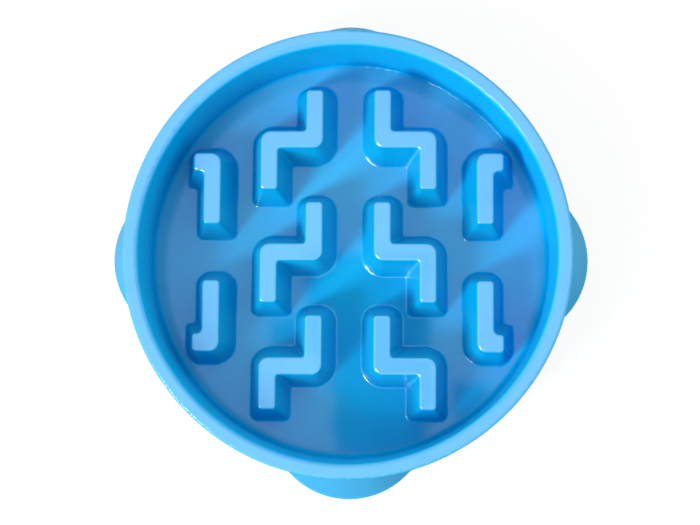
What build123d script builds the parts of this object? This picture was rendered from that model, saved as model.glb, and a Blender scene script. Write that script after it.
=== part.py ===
from build123d import *
import math
import os

os.makedirs("parts", exist_ok=True)

# Slow feeder bowl, in millimetres. The front is towards -Y, +Z is up and the feet stand on Z = 0.

# Bowl body
bowl_height = 45.0  # table to the top of the rim
floor_height = 8.5  # table to the feeding floor
wall = 2.2  # thickness of every moulded wall
wall_lean = 0.9  # how much wider the bowl is at its mouth than at its floor, on each side
rim_width = 6.6
skirt_flare = 2.0  # how much wider the skirt is at its lower edge than at the rim, on each side
rim_outer_round = 1.5
rim_inner_round = 2.4
rim_outer_share = 0.5  # most of the rim's width that its outer round may take
rim_inner_share = 0.4  # most of the rim's width that its inner round may take
floor_corner_round = 1.2  # hollow round where the wall meets the floor
lower_edge_round = 0.6  # outside lower edge of skirt and lobes

# Base lobes, one over each foot
lobe_overhang = 9.5  # skirt's lower edge to the tip of a lobe
lobe_radius = 36.0  # plan radius of a lobe at its lower edge
lobe_top_drop = 5.0  # top of the rim down to the level where a lobe has shrunk into the skirt
lobe_top_inset = 0.5  # how far inside the rim a lobe is at that level
lobe_blend = 9.0  # hollow round between a lobe and the skirt

# Ridges on the floor
ridge_height = 22.0  # floor to ridge top
ridge_draft = 5.1  # how much wider a ridge is at its foot than at its top, on each side
ridge_width = 7.2  # at the top
bend_radius = 4.2  # outer corner of a bend, at the top
end_radius = 1.6  # corner of a ridge's end, at the top
front_foot_radius = 3.0  # corner of an end that faces the front, at the foot
inner_radius = 1.4  # inner corner of a bend
hook_inner_radius = 2.3  # inner corner of a hook
ridge_edge_round = 1.2
ridge_foot_round = 1.1
core_end_radius = 0.6  # sharpest end corner of the hollow inside a ridge
core_inner_radius = 2.2  # inner corners of that hollow
ridge_wall_gap = 2.8  # foot corner of the outermost ridge to the bowl wall
hook_end_share = 0.43  # most of a hook's side that its rounded end corner may take
hook_inner_share = 0.54  # most of a hook's side that its rounded inner corner may take
pattern_shift = 1.2  # the ridge pattern stands this far behind the bowl's axis

# Zigzag ridges, in two mirrored columns
zigzag_rows = 3
centre_channel = 12.0  # clear floor between the two columns
arm_offset = 2.25  # clear floor between the lines of the rear arms and of the front arms
row_gap = 13.5  # clear floor between a crossbar and the arm that faces it
zigzag_arm = 18.0  # length of an arm beyond the crossbar
front_row_arm = 14.8  # the same for the front arms of the front row

# Hooked bars, one in each quarter of the floor
side_channel = 7.15  # clear floor between the zigzags and the bars
bar_gap = 14.4  # clear floor between a rear bar and a front bar
bar_length = 30.5
bar_hook = 4.3  # how far the hook stands out from the bar
hook_width = 7.5

# Feet, named with their bearing in degrees from the right-hand side
foot_bearings = {"foot_right": 0, "foot_back": 90, "foot_left": 180, "foot_front": 270}
foot_inset = 10.5  # tip of a lobe to the axis of its foot
foot_pad_height = 2.0  # the lower edge of the bowl stands this far above the table
foot_flange = 2.2  # how far the pad stands out around the stem
foot_edge_round = 0.7
foot_stem_radius = 5.0
foot_stem_length = 8.0
foot_stem_lead = 0.8  # chamfer that leads the stem into its boss
boss_wall = 2.2
boss_roof = 2.2
stem_clearance = 0.05  # around the stem
stem_end_clearance = 0.5  # above the stem

# Ridge sizes that follow from these
ridge_top = floor_height + ridge_height
ridge_slope = ridge_draft / ridge_height
front_opening = (front_foot_radius - end_radius) / ridge_draft
ridge_wall = wall * math.hypot(1, ridge_slope)
arm_near = centre_channel / 2 + ridge_draft
arm_far = arm_near + 2 * ridge_width + 2 * ridge_draft + arm_offset
row_pitch = row_gap + zigzag_arm + ridge_width + 2 * ridge_draft
bar_near = arm_far + side_channel + 2 * ridge_draft
bar_start = bar_gap / 2 + ridge_draft
bar_end = bar_start + bar_length
hook_end_limit = hook_end_share * bar_hook
hook_inner = min(hook_inner_radius, hook_inner_share * bar_hook)


def zigzag_outline(row, grow, end, front, inner, bend):
    """Corners and corner radii of a right-hand zigzag's outline, grown by an amount on every side."""
    middle = pattern_shift + ((zigzag_rows - 1) / 2 - row) * row_pitch
    front_arm = front_row_arm if row == zigzag_rows - 1 else zigzag_arm
    crossbar_rear = middle + ridge_width / 2 + grow
    crossbar_front = middle - ridge_width / 2 - grow
    rear_end = crossbar_rear + zigzag_arm
    front_end = crossbar_front - front_arm
    corners = [
        (arm_near - grow, rear_end),
        (arm_near + ridge_width + grow, rear_end),
        (arm_near + ridge_width + grow, crossbar_rear),
        (arm_far + grow, crossbar_rear),
        (arm_far + grow, front_end),
        (arm_far - ridge_width - grow, front_end),
        (arm_far - ridge_width - grow, crossbar_front),
        (arm_near - grow, crossbar_front),
    ]
    return corners, [end, end, inner, bend, front, front, inner, bend]


def bar_outline(side, grow, end, front, bend):
    """The same for a right-hand hooked bar, on the rear side (1) or the front side (-1)."""
    near = bar_near - grow
    far = bar_near + ridge_width + grow
    tip = far + bar_hook
    start = pattern_shift + side * (bar_start - grow)
    hook = pattern_shift + side * (bar_end - hook_width - grow)
    finish = pattern_shift + side * (bar_end + grow)
    start_end = front if side == 1 else end
    hook_end = min(end, hook_end_limit)
    corners = [(near, finish), (tip, finish), (tip, hook), (far, hook), (far, start), (near, start)]
    return corners, [bend, end, hook_end, hook_inner, start_end, start_end]


def ridge_outlines(grow, inner):
    """Outlines of the ridges right of the middle plane, whose outer corners open as the ridge grows."""
    end = max(core_end_radius, end_radius + grow)
    front = max(core_end_radius, end_radius + front_opening * grow)
    bend = bend_radius + grow
    zigzags = [zigzag_outline(row, grow, end, front, inner, bend) for row in range(zigzag_rows)]
    return zigzags + [bar_outline(side, grow, end, front, bend) for side in (1, -1)]


def outline_face(height, corners, radii):
    """Flat face inside a rounded outline at a height."""
    with BuildSketch(Plane.XY.offset(height)) as outline:
        with BuildLine():
            FilletPolyline(*corners, radius=radii, close=True)
        make_face()
    return outline.sketch


def corner_reach(corner, radius):
    """Distance from the bowl's axis to the outermost point of a rounded square corner."""
    x, y = corner
    return math.hypot(abs(x) - radius, abs(y) - radius) + radius


# Bowl sizes that follow: the bowl is drawn round its ridges
foot_outlines = ridge_outlines(ridge_draft, inner_radius)
foot_reach = max(corner_reach(*corner) for corners, radii in foot_outlines for corner in zip(corners, radii))
floor_radius = foot_reach + ridge_wall_gap
mouth_radius = floor_radius + wall_lean
rim_radius = mouth_radius + rim_width
skirt_radius = rim_radius + skirt_flare
lower_edge = foot_pad_height
groove_top = bowl_height - wall
floor_underside = floor_height - wall
lobe_reach = skirt_radius + lobe_overhang
lobe_axis = lobe_reach - lobe_radius
lobe_height = bowl_height - lobe_top_drop - lower_edge
lobe_top_radius = rim_radius - lobe_top_inset - lobe_axis
lobe_wall = wall * math.hypot(1, (lobe_radius - lobe_top_radius) / lobe_height)
outer_round = min(rim_outer_round, rim_outer_share * rim_width)
inner_round = min(rim_inner_round, rim_inner_share * rim_width)

# Boss and foot sizes that follow
foot_axis = lobe_reach - foot_inset
boss_bore = foot_stem_radius + stem_clearance
boss_radius = boss_bore + boss_wall
boss_depth = foot_stem_length + stem_end_clearance
standing = (Align.CENTER, Align.CENTER, Align.MIN)

# Ridges as solid blocks, rooted in the floor's thickness
root_grow = ridge_draft + ridge_slope * wall
root_outlines = ridge_outlines(root_grow, inner_radius)
top_outlines = ridge_outlines(0, inner_radius)
with BuildPart() as ridges:
    for root, top in zip(root_outlines, top_outlines):
        loft(sections=[outline_face(floor_underside, *root), outline_face(ridge_top, *top)], ruled=True)
    ridge_tops = ridges.faces().filter_by(Axis.Z).group_by(Axis.Z)[-1]
    fillet(ridge_tops.edges(), ridge_edge_round)
    mirror(about=Plane.YZ)

# Hollows inside the ridges, open at the bottom
core_low_grow = ridge_draft + ridge_slope * (floor_height - lower_edge) - ridge_wall
core_high_grow = ridge_slope * wall - ridge_wall
core_low_outlines = ridge_outlines(core_low_grow, core_inner_radius)
core_high_outlines = ridge_outlines(core_high_grow, core_inner_radius)
with BuildPart() as ridge_cores:
    for low, high in zip(core_low_outlines, core_high_outlines):
        loft(sections=[outline_face(lower_edge, *low), outline_face(ridge_top - wall, *high)], ruled=True)
    mirror(about=Plane.YZ)

# The hollow under the bowl: inside skirt and lobes, outside the feeding cavity, around the foot bosses
with BuildPart() as underside:
    with BuildSketch(Plane.XZ):
        with BuildLine():
            skirt_inside = (skirt_radius - wall, lower_edge)
            rim_inside = (rim_radius - wall, groove_top)
            Polyline((0, lower_edge), skirt_inside, rim_inside, (0, groove_top), close=True)
        make_face()
    revolve(axis=Axis.Z)
    with PolarLocations(lobe_axis, len(foot_bearings)):
        with Locations((0, 0, lower_edge)):
            Cone(lobe_radius - lobe_wall, lobe_top_radius - lobe_wall, lobe_height, align=standing)
    fillet(underside.edges().filter_by(GeomType.BSPLINE), lobe_blend + wall)
    with BuildSketch(Plane.XZ):
        with BuildLine():
            corner_outside = (floor_radius + wall, floor_underside)
            mouth_outside = (mouth_radius + wall, bowl_height)
            corner_round = floor_corner_round + wall
            FilletPolyline((0, floor_underside), corner_outside, mouth_outside, radius=corner_round)
            Polyline(mouth_outside, (0, bowl_height), (0, floor_underside))
        make_face()
    revolve(axis=Axis.Z, mode=Mode.SUBTRACT)
    with PolarLocations(foot_axis, len(foot_bearings)):
        with Locations((0, 0, lower_edge)):
            Cylinder(boss_radius, boss_depth + boss_roof, align=standing, mode=Mode.SUBTRACT)

# Bowl shell: rim, wall, floor, ridges, skirt and lobes in one moulding
with BuildPart() as bowl_shell:
    with BuildSketch(Plane.XZ):
        with BuildLine():
            skirt_foot = (skirt_radius, lower_edge)
            rim_edge = (rim_radius, bowl_height)
            Polyline((0, lower_edge), skirt_foot, rim_edge, (0, bowl_height), close=True)
        make_face()
    revolve(axis=Axis.Z)
    with PolarLocations(lobe_axis, len(foot_bearings)):
        with Locations((0, 0, lower_edge)):
            Cone(lobe_radius, lobe_top_radius, lobe_height, align=standing)
    fillet(bowl_shell.edges().filter_by(GeomType.BSPLINE), lobe_blend)
    fillet(bowl_shell.faces().sort_by(Axis.Z)[0].edges(), lower_edge_round)
    with BuildSketch(Plane.XZ):
        with BuildLine():
            mouth = (mouth_radius, bowl_height)
            corner = (floor_radius, floor_height)
            FilletPolyline((0, floor_height), corner, mouth, radius=floor_corner_round)
            Polyline(mouth, (0, bowl_height), (0, floor_height))
        make_face()
    revolve(axis=Axis.Z, mode=Mode.SUBTRACT)
    rim_edges = bowl_shell.faces().filter_by(Axis.Z).sort_by(Axis.Z)[-1].edges().sort_by(SortBy.LENGTH)
    fillet(rim_edges[0], inner_round)
    rim_edges = bowl_shell.faces().filter_by(Axis.Z).sort_by(Axis.Z)[-1].edges().sort_by(SortBy.LENGTH)
    fillet(rim_edges[-1], outer_round)
    add(ridges.part)
    fillet(bowl_shell.edges(Select.NEW), ridge_foot_round)
    add(underside.part, mode=Mode.SUBTRACT)
    add(ridge_cores.part, mode=Mode.SUBTRACT)
    with PolarLocations(foot_axis, len(foot_bearings)):
        with Locations((0, 0, lower_edge)):
            Cylinder(boss_bore, boss_depth, align=standing, mode=Mode.SUBTRACT)
bowl_shell.part.label = "bowl_shell"
export_step(bowl_shell.part, "parts/bowl_shell.step")

# Feet: a rubber pad with a stem that pushes up into its boss
for foot_name, bearing in foot_bearings.items():
    turn = math.radians(bearing)
    table = Plane((foot_axis * math.cos(turn), foot_axis * math.sin(turn), 0))
    with BuildPart() as foot:
        with BuildSketch(table):
            Circle(foot_stem_radius + foot_flange)
        extrude(amount=foot_pad_height)
        with BuildSketch(table.offset(foot_pad_height)):
            Circle(foot_stem_radius)
        extrude(amount=foot_stem_length)
        fillet(foot.faces().sort_by(Axis.Z)[0].edges(), foot_edge_round)
        chamfer(foot.faces().sort_by(Axis.Z)[-1].edges(), foot_stem_lead)
    foot.part.label = foot_name
    export_step(foot.part, f"parts/{foot_name}.step")

print("rim diameter", round(2 * rim_radius, 2))
print("across the lobes", round(2 * lobe_reach, 2))
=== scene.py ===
import bpy
import math
import numpy as np
from mathutils import Matrix, Vector

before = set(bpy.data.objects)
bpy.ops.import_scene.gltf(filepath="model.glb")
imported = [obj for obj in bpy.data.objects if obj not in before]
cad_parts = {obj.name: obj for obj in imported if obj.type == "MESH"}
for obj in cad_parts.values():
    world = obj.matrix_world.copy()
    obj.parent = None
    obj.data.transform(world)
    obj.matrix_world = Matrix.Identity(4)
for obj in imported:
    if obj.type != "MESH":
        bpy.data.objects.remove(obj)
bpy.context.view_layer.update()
print("frame loaded:", ", ".join(sorted(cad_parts)))

scene = bpy.context.scene
scene.view_settings.view_transform = "Standard"


# Shader maths

class Wire:
    # one output socket; arithmetic on it adds Math nodes to its tree
    def __init__(self, shader, socket):
        self.shader = shader
        self.socket = socket

    def calc(self, operation, *others):
        return self.shader.node("Math", {"operation": operation}, dict(enumerate((self,) + others)))

    def __add__(self, other):
        return self.calc("ADD", other)

    def __sub__(self, other):
        return self.calc("SUBTRACT", other)

    def __rsub__(self, other):
        return self.calc("MULTIPLY_ADD", -1.0, other)

    def __mul__(self, other):
        return self.calc("MULTIPLY", other)

    __radd__ = __add__
    __rmul__ = __mul__

    # smooth step from 0 at low to 1 at high
    def rise(self, low, high):
        sockets = {"Value": self, "From Min": low, "From Max": high}
        return self.shader.node("MapRange", {"interpolation_type": "SMOOTHSTEP"}, sockets)


class Shader:
    # an emptied node tree of a material or a world, with one method that adds any node
    def __init__(self, owner):
        self.owner = owner
        owner.use_nodes = True
        self.tree = owner.node_tree
        self.tree.nodes.clear()

    def node(self, kind, settings=None, sockets=None, output=0):
        made = self.tree.nodes.new("ShaderNode" + kind)
        for key, value in (settings or {}).items():
            setattr(made, key, value)
        for key, value in (sockets or {}).items():
            if isinstance(value, Wire):
                self.tree.links.new(value.socket, made.inputs[key])
            else:
                made.inputs[key].default_value = value
        return Wire(self, made.outputs[output]) if made.outputs else None

    def mixColour(self, share, first, second):
        return self.node("Mix", {"data_type": "RGBA"}, {0: share, 6: first, 7: second}, 2)

    def vector(self, operation, first, second=None, output="Vector", **sockets):
        sockets = {0: first, **({} if second is None else {1: second}), **sockets}
        return self.node("VectorMath", {"operation": operation}, sockets, output)

    def part(self, vector, axis):
        return self.node("SeparateXYZ", sockets={0: vector}, output=axis)

    def noise(self, place, setup):
        sockets = {"Vector": place, "Scale": setup["scale"], "Detail": setup["detail"]}
        return self.node("TexNoise", sockets=sockets)

    def relief(self, place, setup):
        sockets = {"Height": self.noise(place, setup), "Distance": setup["depth"]}
        return self.node("Bump", sockets=sockets, output="Normal")


# Camera

cameraSetup = {
    "aim": (0.00133, -0.00462, 0.045),  # point on the rim's plane under the middle of the picture
    "distance": 0.61345,
    "tilt": math.radians(4.82),  # from straight down, towards the front
    "swing": math.radians(-1.72),  # from straight down, towards the right
    "roll": math.radians(-0.2),
    "sensor": 36.0,
    "lens": 75.31,
}


def makeCamera(setup):
    data = bpy.data.cameras.new("camera")
    data.sensor_width = setup["sensor"]
    data.lens = setup["lens"]
    camera = bpy.data.objects.new("camera", data)
    scene.collection.objects.link(camera)
    turn = Matrix.Rotation(-setup["roll"], 4, "Z")
    turn = turn @ Matrix.Rotation(setup["tilt"], 4, "X") @ Matrix.Rotation(-setup["swing"], 4, "Y")
    back = Matrix.Translation((0, 0, setup["distance"]))
    camera.matrix_world = Matrix.Translation(setup["aim"]) @ turn @ back
    scene.camera = camera


makeCamera(cameraSetup)
print("camera set")


# Studio

studio = {
    "white": (1.0, 1.0, 1.0, 1.0),  # the sky seen directly or in a reflection
    "mattSky": (1.0, 1.0, 0.93, 1.0),  # the sky's light on matt surfaces
    "lowestRise": 0.001,  # no direction is taken as lower than this
    "zenithLight": 0.88,
    "levelLight": 0.07,
    "hazeLight": 1.45,  # added low in the sky, most on the side that the key leaves dark
    "hazeSide": (0.65, 0.76, 0),  # towards the middle of that side
    "hazeTop": (0.18, 0.70),  # rises between which it fades out
    "patchShade": 0.08,  # how white the sky is in the dark patch that the bowl mirrors
    "patchEdge": (0.93, 1.07),  # half widths between which it fades out
    "patchRag": {"scale": 55.0, "detail": 2.0, "depth": 0.5},  # and how ragged that edge is
    "patchBoxes": (  # as slopes from straight up
        {"middle": (-0.018, 0.055, 0), "half": (0.042, 0.036, 1)},
        {"middle": (-0.008, -0.006, 0), "half": (0.033, 0.044, 1)},
        {"middle": (0.052, -0.010, 0), "half": (0.012, 0.013, 1)},
        {"middle": (-0.072, 0.036, 0), "half": (0.012, 0.010, 1)},
    ),
    "window": {  # seen in reflections only
        "toward": (-0.595, -0.517, 0.616),
        "edge": (0.95, 0.98),
        "light": 34.0,
    },
    "floorColour": (0.72, 0.73, 0.74, 1.0),
    "floorShadow": 0.18,  # how much of the floor's look is lit, the rest is plain white
    "floorGlow": 1.075,  # of that white
    "floorDim": (0.85, 0.25),  # how much darker it is in reflections, at the front and at the back
    "floorFront": (-0.15, 0.15),  # places between which the front turns into the back
    "floorRadius": 3.0,
    "floorSides": 96,
}

lamps = {
    "keyLow": {
        "place": (-2.135, -1.609, 1.362),
        "along": (0.602, -0.799, 0),  # direction of its width
        "width": 0.72,
        "depth": 0.72,
        "watts": 46.0,
    },
    "keyHigh": {
        "place": (-1.752, -1.32, 2.046),
        "along": (0.602, -0.799, 0),
        "width": 0.72,
        "depth": 0.72,
        "watts": 34.0,
    },
}


def makeSky(setup):
    shader = Shader(bpy.data.worlds.new("studio_sky"))
    scene.world = shader.owner
    seen = shader.node("LightPath", output="Is Camera Ray")
    mirrored = shader.node("LightPath", output="Is Glossy Ray")
    scattered = shader.node("LightPath", output="Diffuse Depth").calc("MINIMUM", 1.0)
    direction = shader.node("TexCoord", output="Generated")
    upward = shader.part(direction, "Z").calc("MAXIMUM", setup["lowestRise"])
    slopes = shader.vector("SCALE", direction, Scale=upward.calc("POWER", -1.0))
    ragged = (shader.noise(slopes, setup["patchRag"]) - 0.5) * setup["patchRag"]["depth"]
    clear = None
    for box in setup["patchBoxes"]:
        # a soft box: the larger of the two slopes from its middle, each over its half width
        apart = shader.vector("DIVIDE", shader.vector("SUBTRACT", slopes, box["middle"]), box["half"])
        across, along = (shader.part(apart, axis).calc("ABSOLUTE") for axis in "XY")
        beyond = (across.calc("MAXIMUM", along) + ragged).rise(*setup["patchEdge"])
        clear = beyond if clear is None else clear * beyond
    window = setup["window"]
    facing = shader.vector("DOT_PRODUCT", direction, window["toward"], output="Value")
    shine = facing.rise(*window["edge"]) * (1.0 - scattered) * window["light"]
    mirrorLight = clear * (1.0 - setup["patchShade"]) + setup["patchShade"] + shine
    aside = shader.vector("DOT_PRODUCT", direction, setup["hazeSide"], output="Value") * 0.5 + 0.5
    haze = (1.0 - upward.rise(*setup["hazeTop"])) * aside * setup["hazeLight"]
    mattLight = upward * (setup["zenithLight"] - setup["levelLight"]) + setup["levelLight"] + haze
    direct = seen + mirrored
    sky = shader.node("Background", sockets={
        "Color": shader.mixColour(direct, setup["mattSky"], setup["white"]),
        "Strength": seen + mirrored * mirrorLight + (1.0 - direct) * mattLight,
    })
    shader.node("OutputWorld", sockets={"Surface": sky})


def makeLamp(name, setup):
    data = bpy.data.lights.new(name, "AREA")
    data.shape = "RECTANGLE"
    data.size = setup["width"]
    data.size_y = setup["depth"]
    data.energy = setup["watts"]
    lamp = bpy.data.objects.new(name, data)
    scene.collection.objects.link(lamp)
    back = Vector(setup["place"]).normalized()  # a lamp shines along its own -Z, at the bowl
    side = Vector(setup["along"])
    side = (side - side.dot(back) * back).normalized()
    turn = Matrix((side, back.cross(side), back)).transposed().to_4x4()
    lamp.matrix_world = Matrix.Translation(setup["place"]) @ turn


def makeFloor(setup):
    # a disc: one ring of points at a radius around the middle
    turns = np.linspace(0, 2 * np.pi, setup["floorSides"], endpoint=False)
    ring = np.column_stack((np.cos(turns), np.sin(turns), 0 * turns)) * setup["floorRadius"]
    mesh = bpy.data.meshes.new("studio_floor")
    mesh.from_pydata(ring.tolist(), [], [list(range(len(ring)))])
    floor = bpy.data.objects.new("studio_floor", mesh)
    scene.collection.objects.link(floor)
    shader = Shader(bpy.data.materials.new("studio_floor"))
    lit = shader.node("BsdfDiffuse", sockets={"Color": setup["floorColour"]})
    plain = shader.node("Emission", sockets={"Strength": setup["floorGlow"]})
    white = shader.node("LightPath", output="Is Camera Ray") * (1.0 - setup["floorShadow"])
    dark = shader.node("Emission", sockets={"Strength": 0.0})
    front, back = setup["floorDim"]
    behind = shader.part(shader.node("TexCoord", output="Object"), "Y").rise(*setup["floorFront"])
    dim = shader.node("LightPath", output="Is Glossy Ray") * (behind * (back - front) + front)
    mixed = shader.node("MixShader", sockets={0: white, 1: lit, 2: plain})
    mixed = shader.node("MixShader", sockets={0: dim, 1: mixed, 2: dark})
    shader.node("OutputMaterial", sockets={"Surface": mixed})
    mesh.materials.append(shader.owner)


makeSky(studio)
for lampName, lampSetup in lamps.items():
    makeLamp(lampName, lampSetup)
makeFloor(studio)
print("studio lit with", len(lamps), "lamps")


# Azure plastic

plastic = {
    "deep": (0.002, 0.445, 0.84, 1.0),  # floor, walls and the sides of the ridges
    "paintedSheen": (0.120, 0.475, 0.92, 1.0),  # rim and ridge tops, paler with a painted sheen of the white sky
    "outsideSheen": 0.42,  # how much of the rim's painted sheen the skirt and the lobes take
    "paintedSkyEdge": (0.068, 0.465, 0.78, 1.0),  # the floor's edge, paler with a painted reflection of the white sky
    "floorEdge": (0.0812, 0.0834),  # plan radius where that begins
    "edgeCentre": (0.0011, -0.0030, 0),  # and the centre of that circle
    "sideShade": 0.87,  # painted shade: brightness of the ridges' sides
    "wallShade": 1.01,  # painted light: brightness of the wall
    "outsideShade": 0.94,  # painted shade: brightness of the skirt and the lobes
    "rimTop": (0.0437, 0.0447),  # heights between which the rim turns pale with the painted sheen
    "rimRound": (0.0420, 0.0430),  # heights between which the rim's rounds begin
    "rimFlat": (0.04488, 0.04498),  # and end
    "ridgeTop": (0.0299, 0.0304),  # heights between which the ridges turn pale with the painted sheen
    "ridgeFoot": (0.0094, 0.0106),  # heights between which the floor turns into ridge sides and wall
    "wallFoot": (0.0855, 0.0865),  # plan radius where the ridges end and the wall begins
    "cornerReach": (0.0855, 0.0860),  # plan radius where the round between floor and wall begins
    "cornerTop": (0.0096, 0.0104),  # heights between which it ends
    "skirt": (0.0900, 0.0925),  # plan radius where the wall ends, and rim and skirt begin
    "underside": (0.0064, 0.0070),  # heights between which the underside ends
    "bodyRoughness": 0.50,
    "gloss": {
        "roughness": 0.045,
        "ior": 1.61,
        "steep": 0.28,  # shares of the full gloss, from here on
        "paintedSkyEdge": 0.25,
        "rounds": 0.09,
        "outside": 0.55,
        "underside": 0.15,
    },
    "streaks": {
        "scale": 9.0, "detail": 4.0,
        "band": (0.40, 0.70),
        "shade": 0.03,
        "reach": (0.02, 0.06),
    },
    "ripple": {"scale": 90.0, "detail": 3.0, "depth": 0.000015},
}


def azurePlastic(setup):
    shader = Shader(bpy.data.materials.new("azure_plastic"))
    place = shader.node("TexCoord", output="Object")
    height = shader.part(place, "Z")
    flat = shader.vector("MULTIPLY", place, (1, 1, 0))
    reach = shader.vector("LENGTH", flat, output="Value")
    outside = reach.rise(*setup["skirt"])
    onFloor = 1.0 - reach.rise(*setup["wallFoot"])
    ridgeTops = height.rise(*setup["ridgeTop"]) * onFloor
    tops = height.rise(*setup["rimTop"]) + ridgeTops
    # painted sheen: the rim, the ridge tops and partly the skirt and lobes are paler, standing in for
    # the sky's reflection
    paintedSheenShare = tops.calc("MAXIMUM", outside * setup["outsideSheen"])
    # faint streaks that run outwards from the middle, where the plastic flowed in
    streaks = setup["streaks"]
    flow = shader.noise(shader.vector("NORMALIZE", flat), streaks)
    shade = 1.0 - flow.rise(*streaks["band"]) * reach.rise(*streaks["reach"]) * streaks["shade"]
    sides = height.rise(*setup["ridgeFoot"]) * onFloor * (1.0 - tops)
    wall = (1.0 - onFloor) * (1.0 - outside)
    below = outside * (1.0 - tops)
    # painted shade on the ridges' sides, the skirt and the lobes, and painted light on the wall
    for mask, name in ((sides, "sideShade"), (wall, "wallShade"), (below, "outsideShade")):
        shade = shade * (1.0 - mask * (1.0 - setup[name]))
    rising = height.rise(*setup["ridgeFoot"]).calc("MAXIMUM", 1.0 - onFloor)
    # painted reflection: the floor's edge takes a paler colour for the white sky, with a thinner coat
    edgeReach = shader.vector("DISTANCE", flat, setup["edgeCentre"], output="Value")
    paintedSkyEdge = edgeReach.rise(*setup["floorEdge"]) * (1.0 - rising)
    colour = shader.mixColour(paintedSkyEdge, setup["deep"], setup["paintedSkyEdge"])
    colour = shader.vector("SCALE", shader.mixColour(paintedSheenShare, colour, setup["paintedSheen"]), Scale=shade)
    # the floor and the flat tops are polished, the steep faces less so, and the long rounds are dull
    gloss = setup["gloss"]
    steep = rising * (1.0 - tops) * (1.0 - outside)
    polish = 1.0
    for mask, name in ((steep, "steep"), (below, "outside"), (paintedSkyEdge, "paintedSkyEdge")):
        polish = polish - mask * (1.0 - gloss[name])
    rounds = height.rise(*setup["rimRound"]) * (1.0 - height.rise(*setup["rimFlat"]))
    corner = reach.rise(*setup["cornerReach"]) * (1.0 - outside)
    rounds = rounds + corner * (1.0 - height.rise(*setup["cornerTop"]))
    polish = polish * (1.0 - rounds) + rounds * gloss["rounds"]
    above = height.rise(*setup["underside"]) * (1.0 - gloss["underside"]) + gloss["underside"]
    polish = polish.calc("MINIMUM", above)
    relief = shader.relief(place, setup["ripple"])
    surface = shader.node("BsdfPrincipled", sockets={
        "Base Color": colour, "Roughness": setup["bodyRoughness"], "Specular IOR Level": 0.0,
        "Coat Weight": polish, "Coat Roughness": gloss["roughness"], "Coat IOR": gloss["ior"],
        "Normal": relief,
    })
    shader.node("OutputMaterial", sockets={"Surface": surface})
    return shader.owner


def dress(name, material):
    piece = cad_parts[name]
    piece.data.materials.clear()
    piece.data.materials.append(material)


dress("bowl_shell", azurePlastic(plastic))
print("plastic on the bowl")


# Foot rubber

rubber = {
    "clean": (0.60, 0.64, 0.66, 1.0),
    "dusty": (0.44, 0.45, 0.45, 1.0),
    "sole": (0.0002, 0.0012),  # heights between which the worn sole ends
    "dust": {"scale": 260.0, "detail": 5.0, "band": (0.45, 0.72)},
    "roughness": (0.66, 0.88),  # clean, dusty
    "grain": {"scale": 2600.0, "detail": 2.0, "depth": 0.00002},
}


def footRubber(setup):
    shader = Shader(bpy.data.materials.new("foot_rubber"))
    place = shader.node("TexCoord", output="Object")
    height = shader.part(place, "Z")
    dust = setup["dust"]
    specks = shader.noise(place, dust).rise(*dust["band"])
    dusty = specks.calc("MAXIMUM", 1.0 - height.rise(*setup["sole"]))
    colour = shader.mixColour(dusty, setup["clean"], setup["dusty"])
    clean, dull = setup["roughness"]
    relief = shader.relief(place, setup["grain"])
    surface = shader.node("BsdfPrincipled", sockets={
        "Base Color": colour, "Roughness": dusty * (dull - clean) + clean, "Normal": relief,
    })
    shader.node("OutputMaterial", sockets={"Surface": surface})
    return shader.owner


rubberLook = footRubber(rubber)
for footName in [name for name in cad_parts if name.startswith("foot_")]:
    dress(footName, rubberLook)
print("rubber on the feet")
